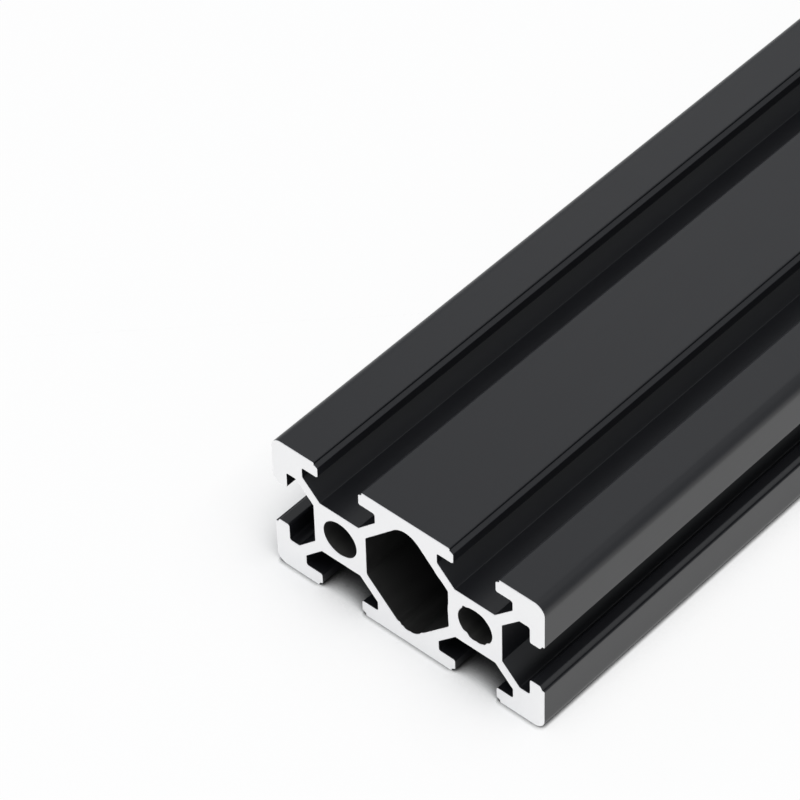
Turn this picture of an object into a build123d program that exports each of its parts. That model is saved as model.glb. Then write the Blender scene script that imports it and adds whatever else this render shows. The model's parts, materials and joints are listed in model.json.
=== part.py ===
"""Slotted aluminium extrusion, 20 x 40 mm, black anodised and sawn to length.

The bar is one extruded piece, so its whole form is in the section. Two square cells stand side by
side. Each has a screw bore in a square core, held to the outside by diagonal webs, and an undercut
T-slot on every outer face. A six-sided hollow with rounded crowns lies between the two cores.

The bar lies on a broad face. X runs across it, Y along it and Z up from the resting face. The origin
is on that face, under the middle of the bar. All sizes are in millimetres.
"""

import os
from math import sqrt

from build123d import *

# Outside of the bar
bar_length = 150.0
cell = 20.0  # side of one square cell: the bar is one cell high and two cells wide
corner_radius = 1.5

# T-slot, measured from the outer face that it opens on
slot_mouth = 6.1  # gap between the tips of the two lips
lip_thickness = 2.1
lip_step = 0.33  # upright ledge between the outer face and a lip's bevel
lip_bevel_width = 0.52  # along the outer face
lip_bevel_depth = 0.3  # into the slot
lip_tip_radius = 0.3  # inner edge of a lip's tip
undercut_corner_radius = 0.3
floor_corner_radius = 0.1

# Walls and webs that stand between the outside, the slots, the bores and the hollow
corner_width = 4.55  # from a cell's side to the undercut of the nearest slot that opens square to it
web_thickness = 1.4
bore_diameter = 5.0
floor_wall = 1.4  # between a bore and a slot's floor
bore_wall = 1.4  # between a bore and the hollow
crown_wall = 2.0  # over the rounded top of the hollow, and under its bottom
hollow_corner_radius = 0.5

cut_overrun = 1.0  # how far a slot's cutting shape reaches past the outer face

# Sizes that follow from the ones above
bar_width = 2 * cell
bar_height = cell
cell_half = cell / 2
cell_centres = [(-cell_half, cell_half), (cell_half, cell_half)]
web_offset = web_thickness / sqrt(2)  # from a cell's diagonal to a web's face, square to the slot
slot_undercut = cell - 2 * corner_width  # inside width behind the lips
slot_depth = cell_half - bore_diameter / 2 - floor_wall
shoulder_depth = cell_half - slot_undercut / 2 - web_offset  # where the undercut meets the webs
floor_half = cell_half - slot_depth - web_offset
hollow_half_width = cell_half - bore_diameter / 2 - bore_wall
hollow_side_half = cell_half - hollow_half_width - web_offset
hollow_peak = cell_half - web_offset  # where the hollow's slopes would meet, above its centre
crown_radius = (hollow_peak - cell_half + crown_wall) / (sqrt(2) - 1)

# One T-slot: its mouth is at the origin, and it runs down from there
slot_right_side = [
    (slot_mouth / 2 + lip_bevel_width, cut_overrun),
    (slot_mouth / 2 + lip_bevel_width, -lip_step),
    (slot_mouth / 2, -lip_step - lip_bevel_depth),
    (slot_mouth / 2, -lip_thickness),
    (slot_undercut / 2, -lip_thickness),
    (slot_undercut / 2, -shoulder_depth),
    (floor_half, -slot_depth),
]
slot_left_side = [(-x, y) for x, y in reversed(slot_right_side)]

with BuildSketch() as slot:
    with BuildLine():
        Polyline(*slot_right_side, *slot_left_side, close=True)
    make_face()
    lip_row = slot.vertices().group_by(Axis.Y)[2].sort_by(Axis.X)
    fillet(lip_row[1:3], lip_tip_radius)
    shoulder_row, lip_row = slot.vertices().group_by(Axis.Y)[1:3]
    undercut_corners = [lip_row.sort_by(Axis.X)[0], lip_row.sort_by(Axis.X)[-1]]
    fillet([*shoulder_row, *undercut_corners], undercut_corner_radius)
    fillet(slot.vertices().group_by(Axis.Y)[0], floor_corner_radius)

# The hollow between the two cores, about its own centre
with BuildSketch() as hollow:
    with BuildLine():
        Polyline(
            (hollow_half_width, hollow_side_half),
            (0, hollow_peak),
            (-hollow_half_width, hollow_side_half),
            (-hollow_half_width, -hollow_side_half),
            (0, -hollow_peak),
            (hollow_half_width, -hollow_side_half),
            close=True,
        )
    make_face()
    peaks = hollow.vertices().group_by(Axis.X)[1]
    fillet(peaks, crown_radius)
    side_corners = hollow.vertices().group_by(Axis.X)
    fillet([*side_corners[0], *side_corners[-1]], hollow_corner_radius)

# Where each T-slot opens, turned so that its mouth faces outwards
slot_places = [
    *[Location((x, bar_height)) for x, _ in cell_centres],
    *[Location((x, 0), 180) for x, _ in cell_centres],
    Location((bar_width / 2, cell_half), -90),
    Location((-bar_width / 2, cell_half), 90),
]

with BuildPart() as aluminium_profile:
    with BuildSketch(Plane.XZ) as section:
        with Locations((0, cell_half)):
            RectangleRounded(bar_width, bar_height, corner_radius)
            add(hollow.sketch, mode=Mode.SUBTRACT)
        with Locations(*slot_places):
            add(slot.sketch, mode=Mode.SUBTRACT)
        with Locations(*cell_centres):
            Circle(bore_diameter / 2, mode=Mode.SUBTRACT)
    extrude(amount=bar_length / 2, both=True)

aluminium_profile.part.label = "aluminium_profile"

os.makedirs("parts", exist_ok=True)
export_step(aluminium_profile.part, "parts/aluminium_profile.step")
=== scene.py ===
"""Looks of a slotted aluminium bar: black anodised along its length, bare metal at its sawn ends.

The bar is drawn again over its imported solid, with finer arcs, die edges that are never quite sharp
and a saw cut that is lightly broken, a little ragged and burred. All lengths are in metres.
"""

import json
import math

import bmesh
import bpy
from mathutils import Matrix, Vector, noise


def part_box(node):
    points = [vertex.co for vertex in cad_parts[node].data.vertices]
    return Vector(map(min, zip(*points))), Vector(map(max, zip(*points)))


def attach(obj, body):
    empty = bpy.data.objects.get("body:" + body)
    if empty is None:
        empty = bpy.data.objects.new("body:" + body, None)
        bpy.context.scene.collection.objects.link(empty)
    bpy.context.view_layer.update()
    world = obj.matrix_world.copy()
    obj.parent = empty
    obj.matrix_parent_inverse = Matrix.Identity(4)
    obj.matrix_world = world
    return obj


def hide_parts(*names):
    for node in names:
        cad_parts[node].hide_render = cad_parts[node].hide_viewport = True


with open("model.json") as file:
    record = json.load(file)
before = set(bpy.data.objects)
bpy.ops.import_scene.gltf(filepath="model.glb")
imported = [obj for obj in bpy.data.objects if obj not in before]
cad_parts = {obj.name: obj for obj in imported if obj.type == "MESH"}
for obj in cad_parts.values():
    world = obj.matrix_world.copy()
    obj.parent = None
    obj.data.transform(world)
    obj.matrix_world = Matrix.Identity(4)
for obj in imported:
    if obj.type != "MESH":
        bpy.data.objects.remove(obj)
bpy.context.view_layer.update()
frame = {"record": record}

# Sizes of the section that the frame doesn't give
CORNER_RADIUS = 0.0015
SLOT_MOUTH = 0.0061
LIP_THICKNESS = 0.0021
LIP_STEP = 0.00033
LIP_BEVEL_WIDTH = 0.00052
LIP_BEVEL_DEPTH = 0.0003
LIP_TIP_RADIUS = 0.0003
UNDERCUT_CORNER_RADIUS = 0.0003
FLOOR_CORNER_RADIUS = 0.0001
CORNER_WIDTH = 0.00455
WEB_THICKNESS = 0.0014
CORE_WALL = 0.0014
CROWN_WALL = 0.0020
HOLLOW_CORNER_RADIUS = 0.0005

# Softness of the edges that the die leaves
DIE_EDGE_RADIUS = 0.00014
LEDGE_CORNER_RADIUS = DIE_EDGE_RADIUS / 2

# The saw cut: its broken edge, its nicks, and the raggedness round the holes
CUT_BREAK = 0.00005
NICK_DEPTH = 0.00004
NICK_SPACING = 0.0006
RAGGED_DEPTH = 0.00015
RAGGED_SPACING = 3  # in nick spacings
RAGGED_FROM = 0.2  # level of the noise above which an edge is ragged

# Burrs that stand into the holes at the front end, and nicks where the height is negative:
# each is an angle round the hole and a half width, both in degrees, and a height
HOLLOW_BURRS = [(-100, 2.5, 0.00025), (-96, 2, 0.00014), (-88, 2.5, 0.00008), (-74, 3, 0.00009)]
LEFT_BORE_BURRS = [(-75, 14, 0.00005)]
RIGHT_BORE_BURRS = [(-122, 12, 0.00028), (-87, 9, 0.0001), (-43, 12, 0.00017), (130, 10, -0.00024)]
BURR_REACH = 0.0006  # along the bar

# How finely the mesh follows the section and runs along the bar
ARC_STEP = math.radians(7.5)
RUN_STEP = 0.0004
RIM_STEP = 0.00015
STRETCHES = 12
SHARP_FROM = math.radians(25)

# Finishes of the bar, in the order of its material slots
ANODISED, SAWN, HOLLOW_WALL, BORE_WALL = range(4)

OXIDE_IOR = 1.5

low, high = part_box("aluminium_profile")
width, length, height = high - low
middle = height / 2
front_y = low.y
back_y = high.y

mounts = {mount["name"]: mount for mount in frame["record"]["mounts"]}
bores = [mounts["left_core_bore"], mounts["right_core_bore"]]
bore_radius = bores[0]["dims"]["r_mm"] / 1000
bore_centres = [(bore["pos_m"][0], bore["pos_m"][2]) for bore in bores]

core = bore_radius + CORE_WALL  # half the side of a square core
web_offset = WEB_THICKNESS / math.sqrt(2)  # from a cell's diagonal to a web's face, square to the slot


# Outline of the section, as (x, z) points with the metal on the left of the way round

def rounded(corners):
    """Points of a closed outline whose corners (x, z, radius) are turned into arcs."""
    points = []
    for index, (x, z, radius) in enumerate(corners):
        corner = Vector((x, z))
        before = (corner - Vector(corners[index - 1][:2])).normalized()
        after = (Vector(corners[(index + 1) % len(corners)][:2]) - corner).normalized()
        turn = -before.angle_signed(after)
        if radius == 0 or turn == 0:
            points.append(corner)
            continue
        reach = radius * math.tan(abs(turn) / 2)
        side = math.copysign(1, turn)
        centre = corner - before * reach + Vector((-before.y, before.x)) * radius * side
        spoke = corner - before * reach - centre
        steps = max(2, math.ceil(abs(turn) / ARC_STEP))
        for step in range(steps + 1):
            points.append(centre + Matrix.Rotation(turn * step / steps, 2) @ spoke)
    return points


def spaced(points, gap):
    """The same outline with points added along its straight runs, no further apart than the gap."""
    filled = []
    for index, point in enumerate(points):
        following = points[(index + 1) % len(points)]
        steps = max(1, math.ceil((following - point).length / gap))
        filled += [point.lerp(following, step / steps) for step in range(steps)]
    return filled


def slot_corners():
    """Corners of one slot from lip to lip, as (along the face, into the bar, radius)."""
    mouth = SLOT_MOUTH / 2
    undercut = middle - CORNER_WIDTH
    near_side = [
        (mouth + LIP_BEVEL_WIDTH, 0, DIE_EDGE_RADIUS),
        (mouth + LIP_BEVEL_WIDTH, LIP_STEP, LEDGE_CORNER_RADIUS),
        (mouth, LIP_STEP + LIP_BEVEL_DEPTH, DIE_EDGE_RADIUS),
        (mouth, LIP_THICKNESS, LIP_TIP_RADIUS),
        (undercut, LIP_THICKNESS, UNDERCUT_CORNER_RADIUS),
        (undercut, middle - undercut - web_offset, UNDERCUT_CORNER_RADIUS),
        (core - web_offset, middle - core, FLOOR_CORNER_RADIUS),
    ]
    far_side = list(reversed(near_side))
    return [(-along, into, radius) for along, into, radius in near_side] + far_side


def outer_outline():
    """The outside of the bar, anticlockwise from its lower left corner, with its six slots."""
    half = width / 2
    sides = [
        ((-half, 0), (1, 0), [middle, width - middle]),
        ((half, 0), (0, 1), [middle]),
        ((half, height), (-1, 0), [middle, width - middle]),
        ((-half, height), (0, -1), [middle]),
    ]
    corners = []
    for (x, z), (run_x, run_z), slots in sides:
        corners.append((x, z, CORNER_RADIUS))
        for place in slots:
            for along, into, radius in slot_corners():
                travelled = place + along
                corner_x = x + run_x * travelled - run_z * into
                corner_z = z + run_z * travelled + run_x * into
                corners.append((corner_x, corner_z, radius))
    return spaced(rounded(corners), RUN_STEP)


def hollow_outline():
    """The six-sided hollow between the two cores, clockwise."""
    side = middle - core
    shoulder = core - web_offset
    peak = middle - web_offset
    crown_radius = (peak - middle + CROWN_WALL) / (math.sqrt(2) - 1)
    corners = [
        (-side, middle + shoulder, HOLLOW_CORNER_RADIUS),
        (0, middle + peak, crown_radius),
        (side, middle + shoulder, HOLLOW_CORNER_RADIUS),
        (side, middle - shoulder, HOLLOW_CORNER_RADIUS),
        (0, middle - peak, crown_radius),
        (-side, middle - shoulder, HOLLOW_CORNER_RADIUS),
    ]
    return spaced(rounded(corners), RIM_STEP)


def bore_outline(centre):
    """One screw bore, clockwise."""
    steps = math.ceil(2 * math.pi * bore_radius / RIM_STEP)
    angles = [-2 * math.pi * step / steps for step in range(steps)]
    return [Vector(centre) + bore_radius * Vector((math.cos(a), math.sin(a))) for a in angles]


# The bar's mesh

def outward(points):
    """For each point of an outline, the direction that leads out of the metal."""
    directions = []
    for index in range(len(points)):
        run = points[(index + 1) % len(points)] - points[index - 1]
        directions.append(Vector((run.y, -run.x)).normalized())
    return directions


def with_burrs(points, burrs):
    """A hole's outline with burrs and nicks: each is highest at its angle and gone at its half width."""
    centre = sum(points, Vector((0, 0))) / len(points)
    edge = []
    for point, out in zip(points, outward(points)):
        angle = math.degrees(math.atan2(*reversed(point - centre)))
        rise = 0
        for burr_angle, half_width, burr_height in burrs:
            away = abs((angle - burr_angle + 180) % 360 - 180)
            rise += burr_height * max(0, 1 - away / half_width)
        edge.append(point + out * rise)
    return edge


def cut_edge(points, end_seed, ragged):
    """An outline as the saw leaves it: broken, nicked here and there, and ragged round a hole."""
    edge = []
    for point, out in zip(points, outward(points)):
        place = Vector((point.x, point.y, end_seed * height)) / NICK_SPACING
        offset = -CUT_BREAK - NICK_DEPTH * max(0, noise.noise(place))
        if ragged:
            offset += RAGGED_DEPTH * max(0, noise.noise(place / RAGGED_SPACING) - RAGGED_FROM)
        edge.append(point + out * offset)
    return edge


def make_bar():
    """The whole bar as one closed mesh."""
    outlines = [
        (outer_outline(), ANODISED, []),
        (hollow_outline(), HOLLOW_WALL, HOLLOW_BURRS),
        (bore_outline(bore_centres[0]), BORE_WALL, LEFT_BORE_BURRS),
        (bore_outline(bore_centres[1]), BORE_WALL, RIGHT_BORE_BURRS),
    ]
    run = length - BURR_REACH - CUT_BREAK
    along = [front_y + BURR_REACH + run * step / STRETCHES for step in range(STRETCHES + 1)]
    mesh = bmesh.new()
    end_edges = {front_y: [], back_y: []}
    for points, finish, burrs in outlines:
        inner = finish != ANODISED
        front = with_burrs(points, burrs)
        rings = [(front_y, cut_edge(front, 1, inner)), (front_y + CUT_BREAK, front)]
        rings += [(y, points) for y in along]
        rings += [(back_y, cut_edge(points, 2, inner))]
        made = [[mesh.verts.new((p.x, y, p.y)) for p in ring] for y, ring in rings]
        for number, (near, far) in enumerate(zip(made, made[1:])):
            bare = number in (0, len(made) - 2)
            for index in range(len(points)):
                after = (index + 1) % len(points)
                face = mesh.faces.new((near[index], far[index], far[after], near[after]))
                face.material_index = SAWN if bare else finish
                face.smooth = not bare
        for y, ring in ((front_y, made[0]), (back_y, made[-1])):
            end_edges[y] += [mesh.edges.get((ring[i - 1], ring[i])) for i in range(len(ring))]
    for y, edges in end_edges.items():
        facing = (0, math.copysign(1, y), 0)
        filled = bmesh.ops.triangle_fill(mesh, use_beauty=True, edges=edges, normal=facing)
        for face in filled["geom"]:
            if isinstance(face, bmesh.types.BMFace):
                face.material_index = SAWN
    bmesh.ops.recalc_face_normals(mesh, faces=mesh.faces)
    data = bpy.data.meshes.new("aluminium_bar")
    mesh.to_mesh(data)
    mesh.free()
    data.set_sharp_from_angle(angle=SHARP_FROM)
    bar = bpy.data.objects.new("aluminium_bar", data)
    bpy.context.scene.collection.objects.link(bar)
    return bar


# Shader maths as expressions

class Flow:
    """A place in a node tree: what comes out of a socket. Arithmetic on it adds Math nodes."""

    def __init__(self, tree, socket=None):
        self.tree = tree
        self.socket = socket

    def node(self, kind, settings=None, inputs=None, output=0):
        """A new node: its settings are set first, then each input gets a value or a link."""
        node = self.tree.nodes.new(kind)
        for name, value in (settings or {}).items():
            setattr(node, name, value)
        for key, value in (inputs or {}).items():
            if isinstance(value, Flow):
                self.tree.links.new(value.socket, node.inputs[key])
            else:
                node.inputs[key].default_value = value
        return Flow(self.tree, node.outputs[output] if node.outputs else None)

    def maths(self, operation, first, second):
        return self.node("ShaderNodeMath", {"operation": operation}, {0: first, 1: second})

    def __add__(self, other):
        return self.maths("ADD", self, other)

    def __sub__(self, other):
        return self.maths("SUBTRACT", self, other)

    def __rsub__(self, other):
        return self.maths("SUBTRACT", other, self)

    def __mul__(self, other):
        return self.maths("MULTIPLY", self, other)

    __radd__ = __add__
    __rmul__ = __mul__

    def scaled(self, scale):
        """A place, scaled on its own along each axis."""
        return self.node("ShaderNodeVectorMath", {"operation": "MULTIPLY"}, {0: self, 1: scale})

    def cloud(self, scale=1.0, detail=2.0):
        """Soft noise from 0 to 1 over a place."""
        return self.node("ShaderNodeTexNoise", None, {"Vector": self, "Scale": scale, "Detail": detail})

    def colour(self, first, second):
        """A colour that goes from the first to the second as this value goes from 0 to 1."""
        return self.node("ShaderNodeMix", {"data_type": "RGBA"}, {0: self, 6: first, 7: second}, output=2)

    def relief(self, depth):
        """The normal of a surface whose height follows this value."""
        return self.node("ShaderNodeBump", None, {"Strength": 1.0, "Distance": depth, "Height": self})


def new_material(name):
    """An empty material, and the start of its node tree."""
    material = bpy.data.materials.new(name)
    material.use_nodes = True
    material.node_tree.nodes.clear()
    return material, Flow(material.node_tree)


# Finishes of the bar

def black_anodised():
    """Dyed oxide over extruded metal: near black, satin, with faint die lines along the bar."""
    dark = (0.0070, 0.0074, 0.0092, 1)
    light = (0.0088, 0.0092, 0.0110, 1)
    lines_per_metre = (7000, 12, 7000)
    mottle_per_metre = 260.0
    line_depth = 0.0000005
    satin = 0.31
    line_roughness = 0.06
    mottle_roughness = 0.04
    material, nodes = new_material("black_anodised")
    place = nodes.node("ShaderNodeTexCoord", output="Object")
    die_lines = place.scaled(lines_per_metre).cloud(detail=3.0)
    mottle = place.cloud(mottle_per_metre, detail=3.0)
    shader = nodes.node("ShaderNodeBsdfPrincipled", None, {
        "Base Color": mottle.colour(dark, light),
        "Roughness": satin + line_roughness * die_lines + mottle_roughness * mottle,
        "IOR": OXIDE_IOR,
        "Normal": die_lines.relief(line_depth),
    })
    nodes.node("ShaderNodeOutputMaterial", None, {"Surface": shader})
    return material


def inner_wall(name, dark, light):
    """A wall of a hole, which the dye reaches unevenly: duller than the outside and a little browner."""
    stretch = (1, 0.3, 1)
    patches_per_metre = 700.0
    patch_depth = 0.00001
    dull = 0.40
    patch_roughness = 0.15
    material, nodes = new_material(name)
    place = nodes.node("ShaderNodeTexCoord", output="Object")
    patches = place.scaled(stretch).cloud(patches_per_metre, detail=4.0)
    shader = nodes.node("ShaderNodeBsdfPrincipled", None, {
        "Base Color": patches.colour(dark, light),
        "Roughness": dull + patch_roughness * patches,
        "IOR": OXIDE_IOR,
        "Normal": patches.relief(patch_depth),
    })
    nodes.node("ShaderNodeOutputMaterial", None, {"Surface": shader})
    return material


def sawn_metal():
    """Bare aluminium as the saw leaves it: bright, with shallow arcs from the blade."""
    dark = (0.93, 0.93, 0.935, 1)
    light = (0.97, 0.97, 0.975, 1)
    blade_centre = (-0.105, 0, -0.082)
    arcs_per_metre = 3200
    patches_per_metre = 320.0
    arc_depth = 0.000006
    sheen = 0.36
    arc_roughness = 0.16
    patch_roughness = 0.10
    material, nodes = new_material("sawn_metal")
    place = nodes.node("ShaderNodeTexCoord", output="Object")
    on_end = place.scaled((1, 0, 1))
    radius = nodes.node("ShaderNodeVectorMath", {"operation": "DISTANCE"},
                        {0: on_end, 1: blade_centre}, output="Value")
    arcs = nodes.node("ShaderNodeTexNoise", {"noise_dimensions": "1D"},
                      {"W": radius * arcs_per_metre, "Detail": 4.0})
    patches = place.cloud(patches_per_metre)
    shader = nodes.node("ShaderNodeBsdfPrincipled", None, {
        "Base Color": arcs.colour(dark, light),
        "Metallic": 1.0,
        "Roughness": sheen + arc_roughness * arcs + patch_roughness * patches,
        "Normal": arcs.relief(arc_depth),
    })
    nodes.node("ShaderNodeOutputMaterial", None, {"Surface": shader})
    return material


bar = make_bar()
bar.data.materials.append(black_anodised())
bar.data.materials.append(sawn_metal())
bar.data.materials.append(inner_wall("hollow_wall", (0.0105, 0.0105, 0.0103, 1), (0.022, 0.0217, 0.0208, 1)))
# The bore walls get a lighter colour than the hollow's walls: painted light that makes up for the little
# light reaching into the narrow bores
bar.data.materials.append(inner_wall("bore_wall", (0.018, 0.018, 0.0175, 1), (0.041, 0.040, 0.0375, 1)))
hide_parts("aluminium_profile")
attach(bar, "root")


# Floor, light and camera

def seen_directly(nodes):
    """1 for what the camera, a reflection or a refraction sees, and 0 for light on its way to a surface."""
    kinds = ("Is Camera Ray", "Is Glossy Ray", "Is Transmission Ray")
    camera, glossy, through = [nodes.node("ShaderNodeLightPath", output=kind) for kind in kinds]
    return camera + glossy + through


def open_share(nodes, reach, samples, closed, opened, facing=None):
    """How open the space over a place is within a reach: 0 up to the closed level, 1 from the opened one."""
    inputs = {"Distance": reach}
    if facing is not None:
        inputs["Normal"] = facing
    openness = nodes.node("ShaderNodeAmbientOcclusion", {"samples": samples}, inputs, output="AO")
    return nodes.node("ShaderNodeMapRange", None, {0: openness, 1: closed, 2: opened})


def pale_floor():
    """White paper, white to the eye and in the metal, with the bar's shadow partly painted: occlusion fades
    its white glow near the bar and lays a dark painted shade at the bar's foot and under its slots.
    """
    paper_dark = (0.90, 0.90, 0.90, 1)
    paper_light = (0.93, 0.93, 0.93, 1)
    # The dark colour laid as painted shade along the bar's foot and under its slots
    painted_shade_colour = (0.04, 0.04, 0.04, 1)
    grain_per_metre = 900.0
    whiteness = 0.9
    lamp_side = {0: 0.6, 1: 0.0, 2: 0.8}
    material, nodes = new_material("pale_floor")
    grain = nodes.node("ShaderNodeTexCoord", output="Object").cloud(grain_per_metre)
    paper = nodes.node("ShaderNodeBsdfDiffuse", None, {"Color": grain.colour(paper_dark, paper_light)})
    # The paper glows white where it is seen directly; near the bar occlusion fades the glow, which paints
    # shade over the paper's real shading
    white = nodes.node("ShaderNodeEmission", None, {"Strength": 1.0})
    painted_shade = nodes.node("ShaderNodeBsdfDiffuse", None, {"Color": painted_shade_colour})
    towards_lamp = nodes.node("ShaderNodeCombineXYZ", None, lamp_side)
    # Occlusion masks that paint shade: the glow's fade, tilted towards the lamp so that it leans like the
    # lamp's shadow, then the contact line, then the floor under the slots
    glow_outside_painted_shade = open_share(nodes, reach=0.014, samples=4, closed=0.35, opened=0.9, facing=towards_lamp)
    clear = open_share(nodes, reach=0.0006, samples=4, closed=0.3, opened=1.0, facing=towards_lamp)
    uncovered = open_share(nodes, reach=0.03, samples=8, closed=0.21, opened=0.465)
    seen = seen_directly(nodes)
    camera = nodes.node("ShaderNodeLightPath", output="Is Camera Ray")
    share = seen * glow_outside_painted_shade * whiteness
    # Painted shade: the camera sees it in the contact line and under the slots, and reflections see it under
    # the slots
    shaded = camera * (1 - clear * uncovered) + (seen - camera) * (1 - uncovered)
    open_paper = nodes.node("ShaderNodeMixShader", None, {0: share, 1: paper, 2: white})
    mixed = nodes.node("ShaderNodeMixShader", None, {0: shaded, 1: open_paper, 2: painted_shade})
    nodes.node("ShaderNodeOutputMaterial", None, {"Surface": mixed})
    return material


def make_floor():
    """A flat square of paper under the bar."""
    half = 4.0
    corners = [(-half, -half, 0), (half, -half, 0), (half, half, 0), (-half, half, 0)]
    data = bpy.data.meshes.new("floor")
    data.from_pydata(corners, [], [(0, 1, 2, 3)])
    data.materials.append(pale_floor())
    floor = bpy.data.objects.new("floor", data)
    bpy.context.scene.collection.objects.link(floor)


def light_room():
    """An even pale room, a little brighter to the left than to the right."""
    colour = (0.94, 0.965, 1, 1)
    strength = 0.54
    slant = 0.05
    world = bpy.data.worlds.new("pale_room")
    world.use_nodes = True
    world.node_tree.nodes.clear()
    nodes = Flow(world.node_tree)
    direction = nodes.node("ShaderNodeTexCoord", output="Generated")
    across = nodes.node("ShaderNodeSeparateXYZ", None, {0: direction}, output="X")
    light = nodes.node("ShaderNodeBackground", None, {"Color": colour, "Strength": strength - slant * across})
    nodes.node("ShaderNodeOutputWorld", None, {"Surface": light})
    bpy.context.scene.world = world


def soft_lamp(name, place, target, size, power):
    """A square lamp that faces a target."""
    data = bpy.data.lights.new(name, "AREA")
    data.size = size
    data.energy = power
    lamp = bpy.data.objects.new(name, data)
    lamp.location = place
    lamp.rotation_mode = "QUATERNION"
    lamp.rotation_quaternion = (Vector(target) - Vector(place)).to_track_quat("-Z", "Y")
    bpy.context.scene.collection.objects.link(lamp)


def make_camera():
    """The view of the photograph: the middle of the bar's front end is seen at front_pixel."""
    azimuth = math.radians(42.879)
    elevation = math.radians(45.107)
    roll = math.radians(-1.757)
    depth = 0.48466
    picture_side = 800
    focal_pixels = 4371.6
    front_pixel = (406.62, 582.68)
    nearest = 0.01
    back = Vector((
        math.sin(azimuth) * math.cos(elevation),
        -math.cos(azimuth) * math.cos(elevation),
        math.sin(elevation),
    ))
    level = Vector((math.cos(azimuth), math.sin(azimuth), 0))
    rise = back.cross(level)
    right = level * math.cos(roll) + rise * math.sin(roll)
    up = rise * math.cos(roll) - level * math.sin(roll)
    across = (front_pixel[0] - picture_side / 2) / focal_pixels * depth
    above = (picture_side / 2 - front_pixel[1]) / focal_pixels * depth
    data = bpy.data.cameras.new("camera")
    data.lens = focal_pixels / picture_side * data.sensor_width
    data.clip_start = nearest
    camera = bpy.data.objects.new("camera", data)
    front = Vector((0, front_y, middle))
    place = front - right * across - up * above + back * depth
    camera.matrix_world = Matrix.Translation(place) @ Matrix((right, up, back)).transposed().to_4x4()
    bpy.context.scene.collection.objects.link(camera)
    bpy.context.scene.camera = camera


make_floor()
light_room()
soft_lamp("high_lamp", place=(0.25, -0.2, 1.0), target=(0, 0, 0), size=0.6, power=5.4)
soft_lamp("left_lamp", place=(-0.27, 0.33, 0.39), target=(-0.02, 0.06, 0.02), size=0.2, power=0.085)
make_camera()
bpy.context.scene.view_settings.view_transform = "Standard"
